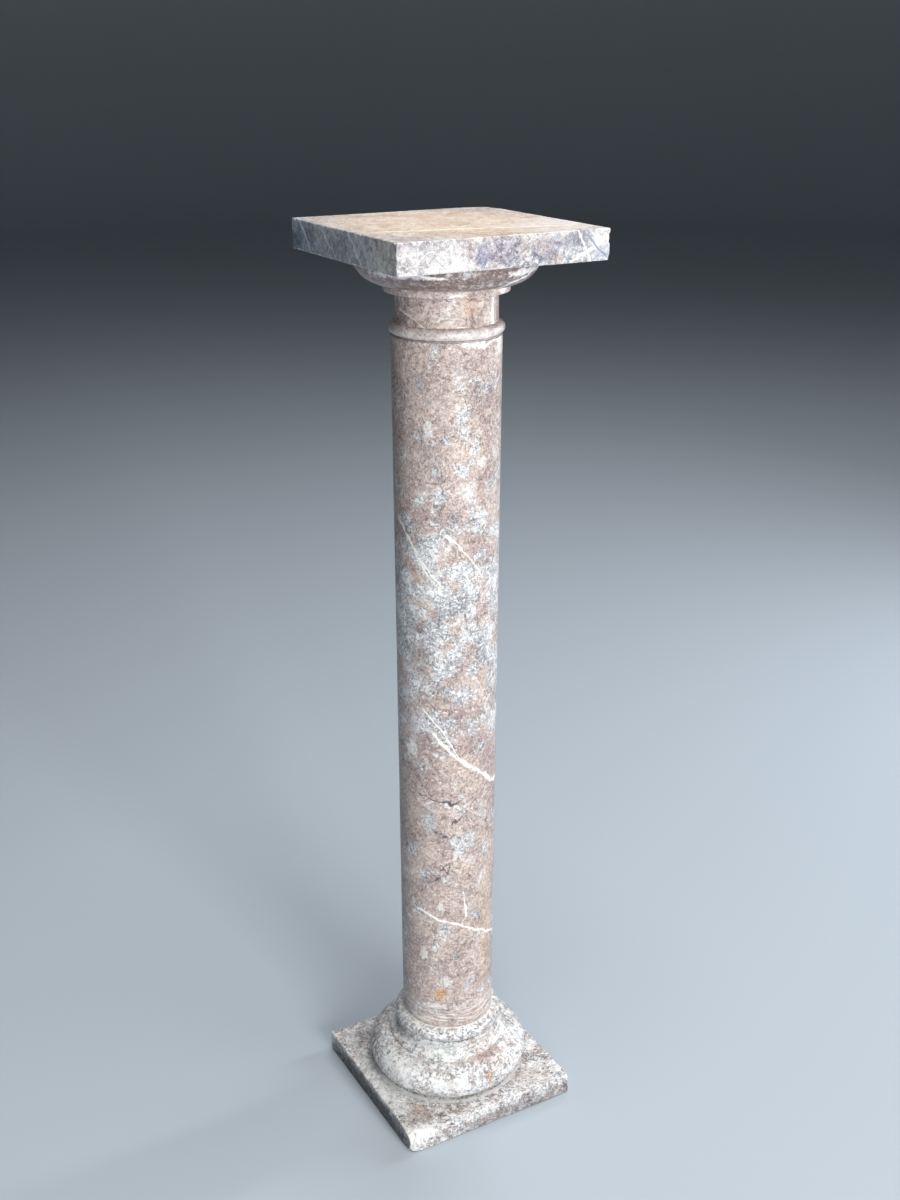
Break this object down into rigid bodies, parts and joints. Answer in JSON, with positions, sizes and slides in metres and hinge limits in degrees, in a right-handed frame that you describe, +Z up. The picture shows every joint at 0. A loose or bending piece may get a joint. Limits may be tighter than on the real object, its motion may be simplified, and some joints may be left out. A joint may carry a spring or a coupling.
{
  "type": "doric pedestal column",
  "caption": "Plain round pedestal column in veined marble on a square plinth, with a turned base, an unfluted shaft, a turned capital and a flat square top slab to stand things on.",
  "frame": {"origin": "centre of the plinth's underside", "axes": "+Z up along the axis of the shaft, slab edges along X and Y"},
  "size_m": [0.24, 0.24, 1.1],
  "materials": {
    "plinth_marble": "worn polish, grey and brown mottled marble with white flecks",
    "base_marble": "worn polish, brown and white mottled marble with ochre spots",
    "shaft_marble": "worn polish, mottled pink-brown marble with white veins",
    "capital_marble": "polished pink-brown marble with fine white veins",
    "abacus_marble": "polished beige marble top with grey and white mottled edges"
  },
  "bodies": {
    "root": {"plinth": "plinth_marble", "base_moulding": "base_marble", "shaft": "shaft_marble", "capital": "capital_marble", "abacus": "abacus_marble"}
  },
  "joints": []
}
